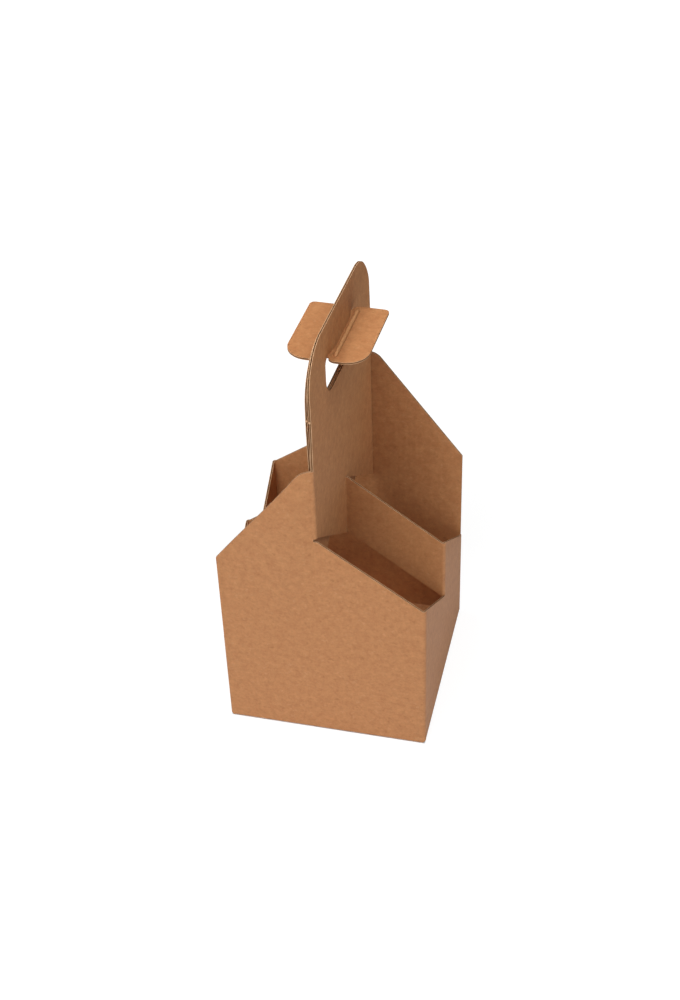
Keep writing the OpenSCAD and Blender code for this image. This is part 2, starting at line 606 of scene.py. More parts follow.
@dataclass(frozen=True)
class PlanPath:
    """Middle line of upright board seen from above.

    Its pieces are straight runs and folds, each a length and a curvature.
    """

    start: tuple[float, float]
    heading: float
    pieces: tuple[tuple[float, float], ...]
    fold_columns: int = 10
    run_columns: int = 2

    def stations(self, step: float) -> Array:
        """Spread stations along the path, closer together in folds.

        Args:
            step: Largest spacing on straight runs.

        Returns:
            Distances from the start.
        """
        stations = [np.zeros(1)]
        for length, curve in self.pieces:
            count = self.fold_columns if curve else max(self.run_columns, math.ceil(length / step))
            stations.append(stations[-1][-1] + np.linspace(0, length, count + 1)[1:])
        return np.concatenate(stations)

    def at(self, distance: Array) -> tuple[Array, Array]:
        """Find points and headings on the path.

        On a fold the heading grows evenly with the distance, and the point runs on the
        circle that this gives.

        Args:
            distance: Distances from the start.

        Returns:
            Points, and headings in radians.
        """
        points = np.zeros((len(distance), 2))
        headings = np.zeros(len(distance))
        here, heading, done = np.array(self.start), self.heading, 0.0
        for length, curve in self.pieces:
            on = distance >= done - TINY
            # The end of the run or fold is found with the places on it
            gone = np.append(distance[on] - done, length)
            turned = heading + curve * gone
            if curve:
                ahead = np.stack([np.sin(turned) - np.sin(heading), np.cos(heading) - np.cos(turned)], -1)
                ahead = ahead / curve
            else:
                ahead = gone[:, None] * np.array([np.cos(heading), np.sin(heading)])
            points[on], headings[on] = here + ahead[:-1], turned[:-1]
            here, heading, done = here + ahead[-1], turned[-1], done + length
        return points, headings


def upright(
    path: PlanPath,
    at: Array,
    low: Array | float,
    high: Array | float,
    cuts: Cuts,
    inner: int,
    offset: float,
) -> Patch:
    """Make a patch of upright board over a path.

    Args:
        path: Middle line seen from above.
        at: Distances along the path, one per column.
        low: Height of the low border, the same all along or one per column.
        high: Height of the high border.
        cuts: Which borders are cut edges.
        inner: Number of even steps of rows between the edge zones.
        offset: Distance across the flutes at the start of the path.

    Returns:
        The patch.
    """
    points, headings = path.at(at)
    low = np.broadcast_to(low, at.shape)
    height = np.maximum(high - low, LEAST_H)
    rise = cuts.rows(height, inner)
    middle = np.empty((*rise.shape, 3))
    middle[..., :2] = points[:, None, :]
    middle[..., 2] = low[:, None] + rise
    outward = np.stack([np.sin(headings), -np.cos(headings), np.zeros(len(headings))], -1)
    normal = np.broadcast_to(outward[:, None, :], middle.shape)
    along = at + offset
    return Patch(middle, normal, along, middle[..., 2].copy(), cuts.press(rise, height, along))


def spread(breaks: list[float], step: float) -> Array:
    """Spread values between break points, each break point kept.

    Args:
        breaks: Values in rising order.
        step: Largest spacing.

    Returns:
        The spread values.
    """
    spans = zip(breaks[:-1], breaks[1:])
    values = [np.linspace(a, b, max(1, math.ceil((b - a) / step)) + 1)[1:] for a, b in spans]
    return np.concatenate([np.array(breaks[:1]), *values])


def arc_rise(run: Array, radius: Array | float) -> Array:
    """Height of a quarter circle above its centre at a run from the centre."""
    return np.sqrt(np.maximum(radius**2 - np.clip(run, 0, radius) ** 2, 0))


def ease(share: Array) -> Array:
    """Smooth step from 0 to 1: three times the square less twice the cube of a share."""
    return share**2 * (3 - 2 * share)


@dataclass(frozen=True)
class HoleOutline:
    """Outline of the hand hole, or of its flap when it is drawn in by some play and trimmed.

    The outline is worked out over a run that goes from the front of the hole to its
    back, whichever way the handle's own frame is turned.
    """

    sizes: Sizes
    side: Side
    play: float = 0.0
    trim: float = 0.0
    # Distances from the ends at which columns are set, so that the rounds stay smooth
    near: tuple[float, ...] = (0.0, 0.05, 0.3, 1.0)

    @property
    def half(self) -> float:
        """Half of the width."""
        return self.sizes.hole_w / 2 - self.play

    @property
    def crease(self) -> float:
        """Half of the straight length along the crease."""
        return self.sizes.hole_w / 2 - self.sizes.hole_top_r

    def run(self, reach: Array) -> Array:
        """Turn distances along the handle into runs from front to back."""
        return self.side.sign * (reach + self.side.sign * self.sizes.hole_lead)

    def reach(self, run: Array) -> Array:
        """Turn runs from front to back into distances along the handle."""
        return self.side.sign * run - self.side.sign * self.sizes.hole_lead

    def stations(self, step: float) -> Array:
        """Spread distances along the handle over the hole, closer together at its ends.

        Args:
            step: Largest spacing.

        Returns:
            The distances in rising order.
        """
        s = self.sizes
        front = [v - self.half for v in self.near]
        rounds = [s.hole_front_r - s.hole_w / 2, s.hole_w / 2 - s.hole_back_r]
        return np.sort(self.reach(spread([*front, *rounds, *(-v for v in reversed(front))], step)))

    def borders(self, reach: Array) -> tuple[Array, Array]:
        """Find the lower and the upper border, each flat between two quarter circles.

        Args:
            reach: Distances along the handle.

        Returns:
            Heights of the lower border, whose circles are of unlike radius, and of the upper one.
        """
        s, run = self.sizes, self.run(reach)
        radii = np.where(run < 0, s.hole_front_r, s.hole_back_r) - self.play, s.hole_top_r - self.play
        low, high = (r - arc_rise(np.abs(run) - (self.half - r), r) for r in radii)
        return s.hole_top - s.hole_h + self.trim + self.play + low, s.hole_top - self.play - high


@dataclass
class HalfSheet:
    """One half of the folded sheet: front panel, right wall, divider, ply and base flaps."""

    sizes: Sizes
    board: Corrugated
    side: Side
    # How far walls bow in, the height over which the front panel does, and the least part
    # of a normal along an axis by which a point is told to lie on a wall and not on a fold
    bow: float = 0.35
    bow_h: float = 150.0
    facing: float = 0.999
    # How far the front panel's slanted edge curls out, where it does so most as a share of
    # its length from the handle, and the heights between which the curl comes in
    curl: float = 3.6
    curl_share: float = 0.32
    curl_low: float = 95.0
    curl_high: float = 185.0
    # How far the free ends of a ply stand off, at what height most, and the widths of that
    # bell along and up the handle
    splay: float = 0.35
    splay_h: float = 238.0
    splay_run: float = 16.0
    splay_rise: float = 17.0
    # How far the far end of the right ply flares out, and over what length
    flare: float = 0.9
    flare_run: float = 9.0
    # Distances from the ends of the arch at which columns are set, so that it stays round
    arch_near: tuple[float, ...] = (0.06, 0.3, 1.2)
    # How far a bare corner reaches below the root of the base flap beside it, and the run
    # of that step
    bare_drop: float = 1.1
    bare_run: float = 0.05
    # Rows of a base flap from its end to its fold, as shares of its length, and rows of the fold
    foot_rows: tuple[float, ...] = (0.0, 0.01, 0.03, 0.35, 0.7, 1.0)
    fold_rows: int = 8
    # Torn nick: how far it stands proud of a cut edge and how deep it starts in the board,
    # its height on the handle and its rows there
    nick: float = 0.6
    nick_root: float = 0.3
    nick_h: float = 243.5
    nick_rows: tuple[float, ...] = (-0.5, -0.2, 0.2, 0.5)
    # Height of a nick and half its thickness at the edge and at the torn end, as shares of
    # its rows and of the board
    nick_taper: tuple[float, float] = (1.0, 0.55)
    nick_thick: tuple[float, float] = (0.42, 0.2)
    surface: Surface = field(default_factory=Surface)

    def lay(self, patch: Patch) -> None:
        """Lay board on a patch of this half."""
        self.board.lay(patch, self.surface)

    def wall_bow(self, patch: Patch) -> Array:
        """Work out how far the walls stand off their flat place.

        Front panel: inwards by a parabola across the width times a squared sine up the
        height. Right wall: the same below its rim. Folds stay where they are. In the half
        with the right ply, the tall part of the front panel also curls out: a hump along
        the panel that rises from the handle and dies out towards the corner, times a
        smooth step up the height.

        Args:
            patch: Patch over walls.

        Returns:
            Offset along the normals at each point.
        """
        s = self.sizes
        x, y, z = np.moveaxis(patch.middle, -1, 0)
        on_front = patch.normal[..., 1] < -self.facing
        on_right = patch.normal[..., 0] > self.facing
        front = np.clip(1 - (x / s.flat_w) ** 2, 0, 1) * np.sin(math.pi * np.clip(z / self.bow_h, 0, 1)) ** 2
        right = np.clip(1 - (y / s.flat_d) ** 2, 0, 1) * np.sin(math.pi * np.clip(z / s.low_h, 0, 1)) ** 2
        bow = -self.bow * (np.where(on_front, front, 0.0) + np.where(on_right, right, 0.0))
        if self.side is Side.LEFT:
            return bow
        away, most = np.clip((s.fold_x - x) / (s.fold_x + s.half_w), 0, 1), self.curl_share
        hump = away / most * ((1 - away) / (1 - most)) ** ((1 - most) / most)
        up = np.clip((z - self.curl_low) / (self.curl_high - self.curl_low), 0, 1)
        return bow + np.where(on_front, self.curl * hump * ease(up), 0.0)

    def lay_wall(self, patch: Patch) -> None:
        """Lay a patch of wall with its bow."""
        self.lay(patch.bowed(self.wall_bow(patch)))

    def add_walls(self) -> None:
        """Lay the low ring of the walls and the two slanted rims that stand on it."""
        s, step = self.sizes, self.board.step
        across, ahead, corner = 2 * s.flat_w, 2 * s.flat_d, s.fold(QUARTER)
        turn = corner[0]
        ring = PlanPath((-s.flat_w, s.front_y), 0.0, ((across, 0.0), corner, (ahead, 0.0), corner))
        # Lower border: the root of a base flap, or a little lower where a corner is left bare
        wall, far = across + turn, across + turn + ahead
        bare, run = s.edge_play, self.bare_run
        knots = [bare - run, bare, across - bare, across - bare + run]
        knots += [wall + bare - run, wall + bare, far - bare, far - bare + run, far + turn]
        roots = np.repeat([s.fold_r, s.fold_r + s.board, s.fold_r], [4, 4, 1])
        low = roots - self.bare_drop * np.array([1, 0, 0, 1, 1, 0, 0, 1, 1])
        at = np.union1d(ring.stations(step), knots)
        low = np.interp(at, knots, low)
        self.lay_wall(upright(ring, at, low, s.low_h, Cuts(), inner=5, offset=0.0))

        # Low half of the front panel, with the front tooth of the right wall
        span = s.flat_w - s.fold_x
        rim = PlanPath((s.fold_x, s.front_y), 0.0, ((span, 0.0), corner, (s.flat_d, 0.0)))
        at = rim.stations(step)
        knots = [0, s.fold_r, span, span + turn, span + turn + s.flat_d]
        high = np.interp(at, knots, [s.high_h, s.high_h, s.mid_h, s.mid_h, s.low_h])
        offset = s.fold_x + s.flat_w
        self.lay_wall(upright(rim, at, s.low_h, high, Cuts(high=True), inner=5, offset=offset))

        # Tall half of the front panel, up to its rounded shoulder
        edge = s.half_w - s.board / 2
        tall = PlanPath((-edge, s.front_y), 0.0, ((edge + s.fold_x, 0.0),))
        slope_end = s.fold_x - s.shoulder_w
        corner_h = s.mid_h + s.corner_rise
        rise = math.atan2(s.shoulder_h - corner_h, slope_end + edge)
        reach = s.shoulder_r * math.tan(rise / 2)
        begin = slope_end - reach * math.cos(rise)
        x = spread([-edge, CUT_STEP - edge, begin, slope_end + reach, s.fold_x], step)
        slope = corner_h + (x + edge) * math.tan(rise)
        shoulder = s.shoulder_h - s.shoulder_r + arc_rise(slope_end + reach - x, s.shoulder_r)
        high = np.where(x <= begin, slope, shoulder)
        cuts = Cuts(high=True, start=True)
        self.lay_wall(upright(tall, x + edge, s.low_h, high, cuts, inner=6, offset=s.flat_w - edge))

    def ply_path(self) -> PlanPath:
        """Find the middle line of the right ply over the length of the handle.

        Returns:
            The path from the near end to the far end.
        """
        s = self.sizes
        side = np.array([math.cos(s.turn), -math.sin(s.turn)])
        ahead = np.array([math.sin(s.turn), math.cos(s.turn)])
        start = s.ply_mid * side - s.cut_d * ahead
        return PlanPath(tuple(start), s.ply_turn, ((s.cut_d + s.ply_end, 0.0),))

    def ply_along(self) -> float:
        """Distance across the flutes at the near end of the ply, counted on over its fold."""
        s = self.sizes
        return s.fold_x + s.flat_w + s.ply_turn * s.mid_r - (s.cut_d + s.fold_reach)

    def ply_splay(self, patch: Patch, reach: Array) -> Array:
        """Work out how far the free ends of a ply stand off its twin.

        Two bells, one at each end of the handle, a third of the way down from its top.
        The far end of the right ply also flares out by a square over its last stretch.

        Args:
            patch: Patch of the ply.
            reach: Distance along the handle of each column.

        Returns:
            Offset along the normals at each point.
        """
        s = self.sizes
        ends = sum(np.exp(-(((reach - end) / self.splay_run) ** 2)) for end in (-s.cut_d, s.ply_end))
        rise = np.exp(-(((patch.middle[..., 2] - self.splay_h) / self.splay_rise) ** 2))
        flare = self.flare if self.side is Side.RIGHT else 0.0
        last = np.clip((reach - s.ply_end) / self.flare_run + 1, 0, 1) ** 2
        return self.splay * ends[:, None] * rise + flare * last[:, None]

    def lay_ply(
        self, reach: Array, low: Array | float, high: Array | float, cuts: Cuts, inner: int
    ) -> None:
        """Lay a patch of the ply.

        Args:
            reach: Distances along the handle.
            low: Low border.
            high: High border.
            cuts: Which borders are cut edges.
            inner: Number of even steps of rows.
        """
        at = reach + self.sizes.cut_d
        patch = upright(self.ply_path(), at, low, high, cuts, inner, self.ply_along())
        self.lay(patch.bowed(self.ply_splay(patch, reach)))

    def add_handle(self) -> None:
        """Lay the fold of the ply, its band, its two teeth and its arch with the hand hole."""
        s, step = self.sizes, self.board.step
        last = [s.ply_end - CUT_STEP, s.ply_end]
        fall = (s.high_h + s.slit - s.mid_h) / (s.root_reach - s.fold_reach)

        # Fold from the front panel
        fold = PlanPath((s.fold_x, s.front_y), 0.0, (s.fold(s.ply_turn),))
        at, low, offset = fold.stations(step), s.high_h + s.slit, s.fold_x + s.flat_w
        cuts = Cuts(low=True, high=True)
        self.lay(upright(fold, at, low, s.shoulder_h, cuts, inner=4, offset=offset))

        # Band from fold to far end, above both teeth
        reach = spread([s.fold_reach, s.fold_reach + s.slit / fall, s.root_reach, *last], step)
        low = np.maximum(s.high_h, s.high_h + s.slit - fall * (reach - s.fold_reach))
        self.lay_ply(reach, low, s.shoulder_h, Cuts(end=True), inner=4)

        # Rear tooth
        reach = spread([s.root_reach, *last], step)
        low = np.interp(reach, [s.root_reach, s.ply_end], [s.high_h, s.mid_h])
        self.lay_ply(reach, low, s.high_h, Cuts(low=True, end=True), inner=3)

        self.add_arch()
        self.add_nicks()
        self.add_divider(fall)

    def add_arch(self) -> None:
        """Lay the arch as four stretches round the hand hole."""
        s, step = self.sizes, self.board.step
        hole = HoleOutline(s, self.side)
        across = hole.stations(step)
        ends = -s.cut_d + s.arch_r, s.ply_end - s.arch_r
        top_h = s.top_h - (s.arch_drop if self.side is Side.LEFT else 0.0)

        def top(reach: Array) -> Array:
            """Return the height of the arch, flat between two quarter circles."""
            past = np.maximum(ends[0] - reach, reach - ends[1])
            return top_h - s.arch_r + arc_rise(past, s.arch_r)

        first = [-s.cut_d, *(v - s.cut_d for v in self.arch_near)]
        last = [*(s.ply_end - v for v in reversed(self.arch_near)), s.ply_end]
        near = spread([*first, ends[0], across[0]], step)
        far = spread([across[-1], ends[1], *last], step)
        self.lay_ply(near, s.shoulder_h, top(near), Cuts(high=True, start=True), inner=5)
        self.lay_ply(far, s.shoulder_h, top(far), Cuts(high=True, end=True), inner=5)

        # Below and above the hole
        floor, roof = hole.borders(across)
        self.lay_ply(across, s.shoulder_h, floor, Cuts(high=True), inner=3)
        self.lay_ply(across, roof, top(across), Cuts(low=True, high=True), inner=3)

    def add_nicks(self) -> None:
        """Lay the torn nicks that held the ply in the waste sheet.

        Each is a small wedge on an upright edge of the ply. It narrows evenly from the
        edge to its torn end, in height and in thickness.
        """
        s, path = self.sizes, self.ply_path()
        rise = np.array(self.nick_rows)
        for end, way in ((0.0, -1), (s.cut_d + s.ply_end, 1)):
            points, headings = path.at(np.array([end]))
            c, k = math.cos(headings[0]), math.sin(headings[0])
            proud = np.array([-self.nick_root, self.nick / 4, self.nick])[::way]
            width = np.interp(proud, [0, self.nick], self.nick_taper)
            thick = np.interp(proud, [0, self.nick], self.nick_thick) * s.board
            reach = way * proud
            middle = np.array([*points[0], self.nick_h]) + reach[:, None, None] * np.array([c, k, 0.0])
            middle = middle + (width[:, None] * rise)[..., None] * np.array([0.0, 0.0, 1.0])
            flat = np.stack(np.broadcast_arrays(reach[:, None], self.nick_h + rise), -1)
            skin = thick[:, None, None] * np.array([k, -c, 0.0])
            self.surface.add_slab(middle + skin, middle - skin, flat, (Layer.CUT, Layer.CUT, Layer.CUT))

    def add_divider(self, fall: float) -> None:
        """Lay the ply's front tooth, the divider and the right wall's rear tooth as one strip.

        Args:
            fall: Fall of the front tooth's lower edge along the handle.
        """
        s, step = self.sizes, self.board.step
        reach = spread([s.fold_reach + s.slit / fall, s.root_reach], step)
        low = s.high_h + s.slit - fall * (reach - s.fold_reach)
        self.lay_ply(reach, low, s.high_h, Cuts(low=True), inner=3)

        centre = np.array([s.root_x, -s.crease_r])
        start = centre - s.mid_r * np.array([math.cos(s.turn), -math.sin(s.turn)])
        across, ahead = s.flat_w - s.root_x, s.flat_d - s.fold_r
        inside, corner = s.fold(-s.ply_turn), s.fold(QUARTER)
        strip = PlanPath(tuple(start), s.ply_turn, (inside, (across, 0.0), corner, (ahead, 0.0)))
        at = strip.stations(step)
        root = inside[0]
        wall = root + across + corner[0]
        knots = [root, root + across, wall, wall + ahead]
        high = np.interp(at, knots, [s.high_h, s.mid_h, s.mid_h, s.low_h])
        low = np.interp(at, knots, [s.mid_h, s.low_h, s.low_h, s.low_h])
        offset = self.ply_along() + s.cut_d + s.root_reach
        for part, cuts in (
            (at <= wall + TINY, Cuts(low=True, high=True)),
            (at >= wall - TINY, Cuts(high=True)),
        ):
            self.lay(upright(strip, at[part], low[part], high[part], cuts, inner=3, offset=offset))

    def lay_base_flap(
        self, across: Array, length: Array, height: float, wall: tuple[float, float], offset: float
    ) -> None:
        """Lay a base flap and the fold at its root.

        From its end the flap is straight, then a quarter circle rises into the wall.

        Args:
            across: Distance along the wall of each column, from its middle.
            length: Length of the flap at each column, from the centre of the fold.
            height: Height of the centre of the fold.
            wall: Centre of the fold at the middle of the wall, seen from above.
            offset: Distance across the flutes at the middle of the wall.
        """
        s, foot = self.sizes, np.array(wall)
        inward = -foot / np.linalg.norm(foot)
        side = np.array([inward[1], -inward[0]])
        share = np.append(self.foot_rows, np.ones(self.fold_rows))
        bend = np.append(np.zeros_like(self.foot_rows), np.linspace(0, QUARTER, self.fold_rows + 1)[1:])
        run = length[:, None] * (1 - share) - s.mid_r * np.sin(bend)
        down = length[:, None] * share + s.mid_r * bend
        middle = np.empty((*run.shape, 3))
        middle[..., :2] = foot + across[:, None, None] * side + run[..., None] * inward
        middle[..., 2] = height - s.mid_r * np.cos(bend)
        outward = np.column_stack([-np.sin(bend)[:, None] * inward, -np.cos(bend)])
        normal = np.broadcast_to(outward, middle.shape)
        press = Cuts(start=True, end=True).press(down, down[:, -1], across)
        self.lay(Patch(middle, normal, across + offset, down, press))

    def add_base(self) -> None:
        """Lay the hooked base flap of the front panel and the inner flap of the right wall."""
        s, step = self.sizes, self.board.step
        side = s.flat_w - s.edge_play
        low_end, high_end = s.hook_run / 2 - s.seam / 2, -s.hook_run / 2 - s.seam / 2
        x = spread([-side, CUT_STEP - side, high_end, low_end, side - CUT_STEP, side], step)
        tip = np.interp(x, [high_end, low_end], [s.hook - s.seam / 2, -s.hook - s.seam / 2])
        self.lay_base_flap(x, tip + s.flat_d, s.fold_r, (0.0, -s.flat_d), s.flat_w)

        root = s.flat_d - s.edge_play
        slanted = root - s.inner_flap * math.tan(s.inner_slant)
        y = spread([-root, CUT_STEP - root, -slanted, slanted, root - CUT_STEP, root], step)
        length = np.interp(np.abs(y), [slanted, root], [s.flat_w - s.half_w + s.inner_flap, s.inner_end])
        self.lay_base_flap(y, length, s.board + s.fold_r, (s.flat_w, 0.0), s.flat_d + 2 * s.flat_w)

    def build(self, materials: list[Material]) -> None:
        """Make this half and hang it on the sheet's body.

        Args:
            materials: Materials in the order of the layers.
        """
        self.add_walls()
        self.add_handle()
        self.add_base()
        piece = self.surface.build(self.side.half, self.side, materials)
        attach(piece, SHEET_BODY)
        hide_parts("carrier")


@dataclass
class HandFlap:
    """Flap of the hand hole, turned out about the crease at the top of the hole."""

    sizes: Sizes
    board: Corrugated
    side: Side

    def to_world(self, points: Array) -> Array:
        """Turn points of the handle's own frame into the frame of the side as modelled.

        Args:
            points: Points away from the handle, along it and upwards.

        Returns:
            The turned points.
        """
        c, k = math.cos(self.sizes.turn), math.sin(self.sizes.turn)
        x, y = points[..., 0], points[..., 1]
        return np.stack([x * c + y * k, y * c - x * k, points[..., 2]], -1)

    def build(self, materials: list[Material]) -> None:
        """Make the flap and hang it on its body.

        Args:
            materials: Materials in the order of the layers.
        """
        s = self.sizes
        outline = HoleOutline(s, self.side, s.flap_play, s.flap_trim)
        y = outline.stations(self.board.step)
        # Distance from the crease line at the free end and at the root
        tip, root = (s.hole_top - border for border in outline.borders(y))
        height = tip - root
        cuts = Cuts(low=True, high=True)
        rise = cuts.rows(height, inner=4)
        out = root[:, None] + rise
        # Turned out by a quarter turn: the sheet's outside is now on top
        across = np.broadcast_to(y[:, None], out.shape)
        level = np.full_like(out, s.hole_top - s.board / 2)
        middle = self.to_world(np.stack([s.ply_out + out, across, level], -1))
        normal = np.broadcast_to(np.array([0.0, 0.0, 1.0]), middle.shape)
        # Columns are taken the other way round so that the cross product points upwards
        press = cuts.press(rise, height, y)[::-1]
        surface = Surface()
        self.board.lay(Patch(middle[::-1], normal, -y[::-1], out[::-1], press), surface)
        obj = surface.build(self.side.node + "_board", self.side, materials)
        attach(obj, self.side.body)
        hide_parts(self.side.node)


@dataclass
class FlapCrease:
    """Pressed crease between ply and hand flap, with the bead that its inside swells into."""

    sizes: Sizes
    flap: HandFlap
    # Radius of the bead, and its centre away from the ply's face and above the crease line
    bead: float = 1.2
    bead_at: tuple[float, float] = (4.3, 0.62)
    # Length of the bead's round ends, and what is left of its size at their tips
    tip: float = 3.0
    tip_size: float = 0.05
    # How far the ply swells out above the crease, how high up that starts, by what power of
    # the way down it grows, and over what length it fades out towards the crease's ends
    swell: float = 1.9
    swell_h: float = 12.0
    swell_power: float = 1.6
    fade: float = 10.0
    # Depth to which borders of this piece run on inside the board, and how far the back of
    # the crease goes up inside the ply
    sunk: float = 0.12
    back_h: float = 0.5
    # Distance from the ply's face to the border on the flap
    reach: float = 7.0
    # Angles between which the bead's circle is seen, and points on the outline's curves
    bead_arc: tuple[float, float] = (212.0, -32.0)
    under_points: int = 13
    swell_points: int = 11
    bead_points: int = 19
    # Spacing of outlines along the crease, and where they are set near its ends
    step: float = 1.0
    near: tuple[float, ...] = (0.0, 0.05, 0.3)
    # How far into the ply and into the flap two end points lie, which are worked out but not used
    bend_from: float = 0.5
    bend_to: float = 0.6

    def ring(self, run: Array) -> Array:
        """Closed outlines across the crease, as offsets from the crease line.

        Underneath, each is a quarter circle about the crease line with the board as its
        radius. Above, the ply swells out by a power of the distance from the top of the
        swelling, and a round bead lies on the flap beyond a narrow valley. Towards the
        ends of the crease the swelling fades by a smooth step and the bead as a circle.

        Args:
            run: Places along the crease, from its middle.

        Returns:
            Offsets away from the handle and upwards, places by points by 2.
        """
        t = self.sizes.board
        ahead = HoleOutline(self.sizes, self.flap.side).crease - np.abs(run)
        out = self.sunk + self.swell * ease(np.clip(ahead / self.fade, 0, 1))
        end = np.clip(1 - ahead / self.tip, 0, 1)
        size = np.maximum(np.sqrt(1 - end**2), self.tip_size)[:, None, None]

        under = np.linspace(3 * QUARTER, 2 * QUARTER, self.under_points)
        arc = t * np.stack([np.cos(under), np.sin(under)], -1)
        ply_side = np.array([[-t, self.back_h], [-2 * self.sunk, self.swell_h]])
        down = np.linspace(0, 1, self.swell_points)
        web = np.empty((len(run), len(down), 2))
        web[..., 0] = out[:, None] * down**self.swell_power - self.sunk
        web[..., 1] = self.swell_h - (self.swell_h - self.sunk) * down
        turn = np.radians(np.linspace(*self.bead_arc, self.bead_points))
        circle = self.bead * np.stack([np.cos(turn), np.sin(turn)], -1) + np.array([0, self.bead_at[1]])
        bead = np.array([self.bead_at[0], 0]) + size * circle
        flap_side = np.array([[self.reach, -self.sunk], [self.reach, -t]])
        parts = arc, ply_side, web, bead, flap_side
        return np.concatenate([np.broadcast_to(p, (len(run), *p.shape[-2:])) for p in parts], axis=1)

    def build(self, liner: Material, bead_highlight: Material) -> None:
        """Carry the outline along the crease.

        Args:
            liner: Paper of the board's faces.
            bead_highlight: Paler paper of the bead, a painted highlight.
        """
        s, side = self.sizes, self.flap.side
        hole = HoleOutline(s, side)
        first = [v - hole.crease for v in (*self.near, self.tip)]
        y = np.sort(hole.reach(spread([*first, *(-v for v in reversed(first))], self.step)))
        ring = self.ring(hole.run(y))
        n, m = ring.shape[:2]
        across = np.broadcast_to(y[:, None], (n, m))
        points = np.stack([s.ply_out + ring[..., 0], across, s.hole_top + ring[..., 1]], -1)
        index = np.arange(n * m).reshape(n, m)
        beside = np.roll(index, -1, axis=1)
        quads = np.stack([index[:-1], beside[:-1], beside[1:], index[1:]], -1).reshape(-1, 4)
        faces = [*quads.tolist(), index[0][::-1].tolist(), index[-1].tolist()]
        # The bead comes after the quarter circle, the two points inside the ply and the swelling
        bead = self.under_points + 2 + self.swell_points + np.arange(self.bead_points - 1)
        # The bead's faces take the paler paper, a painted highlight
        papers = np.append(np.tile(np.isin(np.arange(m), bead), n - 1), [False, False])
        world = self.flap.to_world(points).reshape(-1, 3) * side.turned
        obj = add_mesh(side.body + "_crease", world, faces, papers, [liner, bead_highlight])
        ends = np.array([[s.ply_out + v, 0.0, s.hole_top - v] for v in (-self.bend_from, self.bend_to)])
        start, end = self.flap.to_world(ends) * side.turned * MM
        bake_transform(obj)


@dataclass(frozen=True)
class PhotoCamera:
    """Camera found from corners of the carrier that can be measured in the picture."""

    azimuth: float = 14.669
    elevation: float = 38.377
    distance: float = 970.4
    roll: float = -2.215
    focal_px: float = 1536.4
    frame_px: float = 1000.0
    target: Triple = (-3.98, 6.06, 134.24)
    sensor: float = 36.0
    near_m: float = 0.05
    far_m: float = 50.0

    def build(self) -> None:
        """Set the camera up, turned round its target, raised, rolled and moved back."""
        turns = ((self.azimuth, "Z"), (90 - self.elevation, "X"), (self.roll, "Z"))
        around, tilt, roll = (Matrix.Rotation(math.radians(angle), 4, axis) for angle, axis in turns)
        data = bpy.data.cameras.new("camera")
        data.sensor_fit = "AUTO"
        data.sensor_width = self.sensor
        data.lens = self.focal_px * self.sensor / self.frame_px
        data.clip_start = self.near_m
        data.clip_end = self.far_m
        camera = bpy.data.objects.new("camera", data)
        target = Matrix.Translation(Vector(self.target) * MM)
        back = Matrix.Translation((0, 0, self.distance * MM))
        camera.matrix_world = target @ around @ tilt @ roll @ back
        bpy.context.scene.collection.objects.link(camera)
        bpy.context.scene.camera = camera


@dataclass(frozen=True)
class Lamp:
    """White soft box at a direction and a distance in metres from the middle of the carrier."""

    name: str
    direction: Triple
    width: float
    watts: float
    distance: float = 2.2
    aim_h: float = 0.14

    def build(self) -> Object:
        """Hang the lamp so that it faces the carrier.

        Returns:
            The lamp.
        """
        data = bpy.data.lights.new(self.name, "AREA")
        data.size = self.width
        data.energy = self.watts
        lamp = bpy.data.objects.new(self.name, data)
        away = Vector(self.direction).normalized()
        lamp.location = Vector((0, 0, self.aim_h)) + away * self.distance
        lamp.rotation_euler = away.to_track_quat("Z", "Y").to_euler()
        bpy.context.scene.collection.objects.link(lamp)
        return lamp


